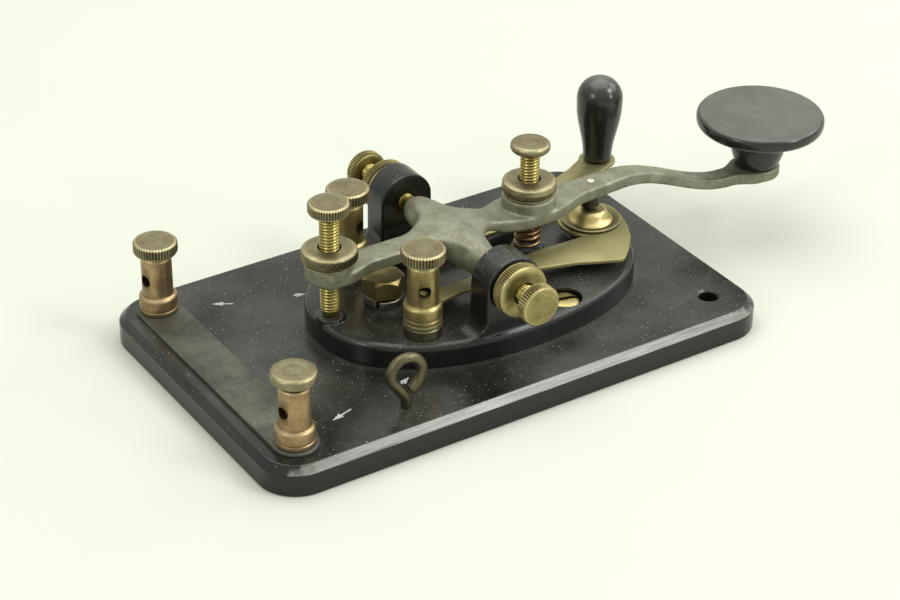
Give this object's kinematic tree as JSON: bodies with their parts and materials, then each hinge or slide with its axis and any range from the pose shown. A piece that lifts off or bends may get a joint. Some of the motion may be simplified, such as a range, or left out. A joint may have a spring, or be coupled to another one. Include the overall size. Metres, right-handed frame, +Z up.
{
  "type": "morse key",
  "caption": "Straight telegraph key: knobbed lever between two pivot ears on an oval sub-base, with circuit closer, adjusting screws and binding posts on a rectangular plate.",
  "frame": {"origin": "centre of the rectangular base plate's underside", "axes": "+X along the lever towards the operating knob, +Y towards the circuit closer's side, +Z up"},
  "size_m": [0.1774, 0.0826, 0.0436],
  "materials": {
    "bakelite": "moulded phenolic, semi-gloss, dusty, rubbed edges",
    "knob_plastic": "moulded phenolic, glossy",
    "dark_strap": "oxidised metal strip, dull",
    "coppery_brass": "brass with a pinkish brown patina",
    "tarnished_brass": "tarnished brass, satin",
    "knurled_brass": "knurled brass with dark tarnish in its grooves",
    "thread_brass": "threaded brass, bright on the crests",
    "nickel_strap": "nickel-plated brass sheet worn to an olive tan",
    "cast_nickel": "cast nickel alloy, dull grey green",
    "contact_metal": "contact rivet, dull",
    "spring_bronze": "copper-brown spring wire",
    "dark_steel": "dull steel"
  },
  "bodies": {
    "base": {"base_plate": "bakelite", "oval_base": "bakelite", "rear_strap": "dark_strap", "rear_post_near": "coppery_brass", "rear_post_far": "coppery_brass", "key_post_near": "tarnished_brass", "key_post_far": "tarnished_brass", "post_spacers": "tarnished_brass", "sub_base_screws": "tarnished_brass", "hex_bolt": "tarnished_brass", "split_lock_washer": "dark_steel", "hex_bolt_nut": "tarnished_brass", "stud_washers": "dark_steel", "stud_nuts": "tarnished_brass", "pivot_bushings": "tarnished_brass", "pivot_link": "tarnished_brass", "contact_strap": "nickel_strap", "anvil_washer": "tarnished_brass", "anvil": "tarnished_brass", "spring": "spring_bronze", "eye_hook": "tarnished_brass"},
    "lever": {"lever": "cast_nickel", "upper_contact": "contact_metal", "operating_knob": "knob_plastic", "knob_screw": "dark_steel"},
    "closer": {"closer_arm": "nickel_strap", "closer_knob": "knob_plastic", "closer_knob_screw": "tarnished_brass"},
    "gap_screw_stem": {"gap_screw_stem": "thread_brass"},
    "gap_screw_head": {"gap_screw_head": "knurled_brass"},
    "gap_nut": {"gap_lock_nut": "knurled_brass"},
    "spring_screw_stem": {"spring_screw_stem": "thread_brass"},
    "spring_screw_head": {"spring_screw_head": "knurled_brass"},
    "spring_nut": {"spring_lock_nut": "knurled_brass"},
    "pivot_near_screw_stem": {"pivot_screw_stem_near": "thread_brass"},
    "pivot_near_screw_head": {"pivot_screw_head_near": "knurled_brass"},
    "pivot_near_nut": {"pivot_lock_nut_near": "knurled_brass"},
    "pivot_far_screw_stem": {"pivot_screw_stem_far": "thread_brass"},
    "pivot_far_screw_head": {"pivot_screw_head_far": "knurled_brass"},
    "pivot_far_nut": {"pivot_lock_nut_far": "knurled_brass"},
    "rear_near_thumb_stem": {"rear_thumb_stem_near": "thread_brass"},
    "rear_near_thumb_head": {"rear_thumb_head_near": "coppery_brass"},
    "rear_far_thumb_stem": {"rear_thumb_stem_far": "thread_brass"},
    "rear_far_thumb_head": {"rear_thumb_head_far": "coppery_brass"},
    "key_near_thumb_stem": {"key_thumb_stem_near": "thread_brass"},
    "key_near_thumb_head": {"key_thumb_head_near": "knurled_brass"},
    "key_far_thumb_stem": {"key_thumb_stem_far": "thread_brass"},
    "key_far_thumb_head": {"key_thumb_head_far": "knurled_brass"}
  },
  "joints": [
    {"name": "lever_press", "type": "hinge", "parent": "base", "child": "lever", "pos_m": [0.003, 0, 0.0248], "axis": [0, 1, 0], "range_deg": [0, 0.75], "stiffness_Nm_per_rad": 0.8, "springref_deg": -5.73, "deforming": ["spring"]},
    {"name": "closer_swing", "type": "hinge", "parent": "base", "child": "closer", "pos_m": [-0.015, 0.0163, 0.0165], "axis": [0, 0, 1], "range_deg": [-4, 0]},
    {"name": "gap_screw_feed", "type": "slide", "parent": "lever", "child": "gap_screw_stem", "axis": [0, 0, 1], "range_m": [0, 0.00158]},
    {"name": "gap_screw_turn", "type": "hinge", "parent": "gap_screw_stem", "child": "gap_screw_head", "pos_m": [-0.0296, 0, 0.042], "axis": [0, 0, 1], "range_deg": [0, 720]},
    {"name": "gap_nut_turn", "type": "hinge", "parent": "lever", "child": "gap_nut", "pos_m": [-0.0296, 0, 0.042], "axis": [0, 0, 1], "range_deg": [0, 180]},
    {"name": "spring_screw_feed", "type": "slide", "parent": "lever", "child": "spring_screw_stem", "axis": [0, 0, 1], "range_m": [0, 0.00079]},
    {"name": "spring_screw_turn", "type": "hinge", "parent": "spring_screw_stem", "child": "spring_screw_head", "pos_m": [0.0249, 0, 0.042], "axis": [0, 0, 1], "range_deg": [0, 360]},
    {"name": "spring_nut_turn", "type": "hinge", "parent": "lever", "child": "spring_nut", "pos_m": [0.0249, 0, 0.042], "axis": [0, 0, 1], "range_deg": [0, 180]},
    {"name": "pivot_near_screw_feed", "type": "slide", "parent": "base", "child": "pivot_near_screw_stem", "axis": [0, -1, 0], "range_m": [0, 0.00158]},
    {"name": "pivot_near_screw_turn", "type": "hinge", "parent": "pivot_near_screw_stem", "child": "pivot_near_screw_head", "pos_m": [0.003, -0.0355, 0.0248], "axis": [0, -1, 0], "range_deg": [0, 720]},
    {"name": "pivot_near_nut_turn", "type": "hinge", "parent": "base", "child": "pivot_near_nut", "pos_m": [0.003, -0.0355, 0.0248], "axis": [0, -1, 0], "range_deg": [0, 180]},
    {"name": "pivot_far_screw_feed", "type": "slide", "parent": "base", "child": "pivot_far_screw_stem", "axis": [0, 1, 0], "range_m": [0, 0.00158]},
    {"name": "pivot_far_screw_turn", "type": "hinge", "parent": "pivot_far_screw_stem", "child": "pivot_far_screw_head", "pos_m": [0.003, 0.0375, 0.0248], "axis": [0, 1, 0], "range_deg": [0, 720]},
    {"name": "pivot_far_nut_turn", "type": "hinge", "parent": "base", "child": "pivot_far_nut", "pos_m": [0.003, 0.0375, 0.0248], "axis": [0, 1, 0], "range_deg": [0, 180]},
    {"name": "rear_near_thumb_feed", "type": "slide", "parent": "base", "child": "rear_near_thumb_stem", "axis": [0, 0, 1], "range_m": [-0.00059, 0.00238]},
    {"name": "rear_near_thumb_turn", "type": "hinge", "parent": "rear_near_thumb_stem", "child": "rear_near_thumb_head", "pos_m": [-0.0573, -0.0318, 0.0247], "axis": [0, 0, 1], "range_deg": [-270, 1080]},
    {"name": "rear_far_thumb_feed", "type": "slide", "parent": "base", "child": "rear_far_thumb_stem", "axis": [0, 0, 1], "range_m": [-0.00059, 0.00238]},
    {"name": "rear_far_thumb_turn", "type": "hinge", "parent": "rear_far_thumb_stem", "child": "rear_far_thumb_head", "pos_m": [-0.0573, 0.0318, 0.0247], "axis": [0, 0, 1], "range_deg": [-270, 1080]},
    {"name": "key_near_thumb_feed", "type": "slide", "parent": "base", "child": "key_near_thumb_stem", "axis": [0, 0, 1], "range_m": [-0.00059, 0.00238]},
    {"name": "key_near_thumb_turn", "type": "hinge", "parent": "key_near_thumb_stem", "child": "key_near_thumb_head", "pos_m": [-0.015, -0.0163, 0.0335], "axis": [0, 0, 1], "range_deg": [-270, 1080]},
    {"name": "key_far_thumb_feed", "type": "slide", "parent": "base", "child": "key_far_thumb_stem", "axis": [0, 0, 1], "range_m": [-0.00059, 0.00238]},
    {"name": "key_far_thumb_turn", "type": "hinge", "parent": "key_far_thumb_stem", "child": "key_far_thumb_head", "pos_m": [-0.015, 0.0163, 0.0335], "axis": [0, 0, 1], "range_deg": [-270, 1080]}
  ],
  "couplings": [
    {"joint": "gap_screw_turn", "follows": "gap_screw_feed", "rad_per_m": 7915.8},
    {"joint": "spring_screw_turn", "follows": "spring_screw_feed", "rad_per_m": 7915.8},
    {"joint": "pivot_near_screw_turn", "follows": "pivot_near_screw_feed", "rad_per_m": 7915.8},
    {"joint": "pivot_far_screw_turn", "follows": "pivot_far_screw_feed", "rad_per_m": 7915.8},
    {"joint": "rear_near_thumb_turn", "follows": "rear_near_thumb_feed", "rad_per_m": 7915.8},
    {"joint": "rear_far_thumb_turn", "follows": "rear_far_thumb_feed", "rad_per_m": 7915.8},
    {"joint": "key_near_thumb_turn", "follows": "key_near_thumb_feed", "rad_per_m": 7915.8},
    {"joint": "key_far_thumb_turn", "follows": "key_far_thumb_feed", "rad_per_m": 7915.8}
  ]
}
